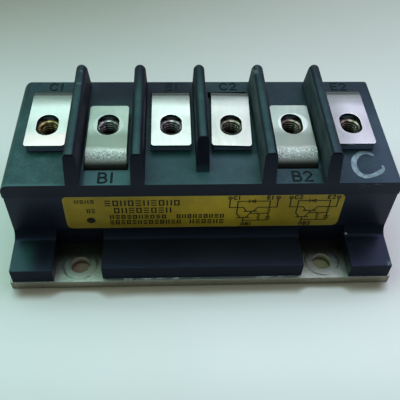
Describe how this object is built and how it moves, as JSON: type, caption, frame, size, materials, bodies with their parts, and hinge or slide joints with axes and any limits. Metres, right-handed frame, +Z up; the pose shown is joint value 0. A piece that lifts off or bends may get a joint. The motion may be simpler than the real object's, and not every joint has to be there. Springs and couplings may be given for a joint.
{
  "type": "darlington transistor module",
  "caption": "Black power transistor module on a metal base plate, with a row of screw terminals between barrier ribs and notches for mounting screws.",
  "frame": {"origin": "centre of the base plate's underside", "axes": "+X along the row of terminals, left to right as seen from the label side; +Y to the back, so the label faces -Y; +Z up"},
  "size_m": [0.108, 0.0684, 0.0385],
  "materials": {
    "nickel_plate": "dull nickel plating on copper",
    "case_plastic": "black moulded plastic, satin",
    "cover_plastic": "black moulded plastic, satin",
    "terminal_metal": "bright plated copper strip",
    "nut_metal": "yellow metal nut",
    "label_film": "yellow printed film",
    "adhesive": "cured silicone adhesive",
    "solder": "dull solder",
    "alumina": "fired alumina",
    "copper": "copper",
    "silicon": "metallised silicon",
    "resistor": "thick film resistor",
    "bond_wire": "drawn aluminium wire",
    "gel": "clear silicone gel",
    "resin": "cast epoxy"
  },
  "bodies": {
    "root": {"base_plate": "nickel_plate", "case_frame": "case_plastic", "terminal_cover": "cover_plastic", "c1_terminal": "terminal_metal", "b1_terminal": "terminal_metal", "e1_terminal": "terminal_metal", "c2_terminal": "terminal_metal", "b2_terminal": "terminal_metal", "e2_terminal": "terminal_metal", "terminal_nuts": "nut_metal", "label": "label_film", "case_adhesive": "adhesive", "base_solder_1": "solder", "base_solder_2": "solder", "substrate_1": "alumina", "substrate_2": "alumina", "collector_pad_1": "copper", "collector_pad_2": "copper", "base_pad_1": "copper", "base_pad_2": "copper", "emitter_pad_1": "copper", "emitter_pad_2": "copper", "darlington_chip_1": "silicon", "darlington_chip_2": "silicon", "freewheel_chip_1": "silicon", "freewheel_chip_2": "silicon", "base_resistor_1": "resistor", "base_resistor_2": "resistor", "emitter_wires_1": "bond_wire", "emitter_wires_2": "bond_wire", "base_wires_1": "bond_wire", "base_wires_2": "bond_wire", "silicone_gel": "gel", "epoxy_seal": "resin"}
  },
  "joints": []
}
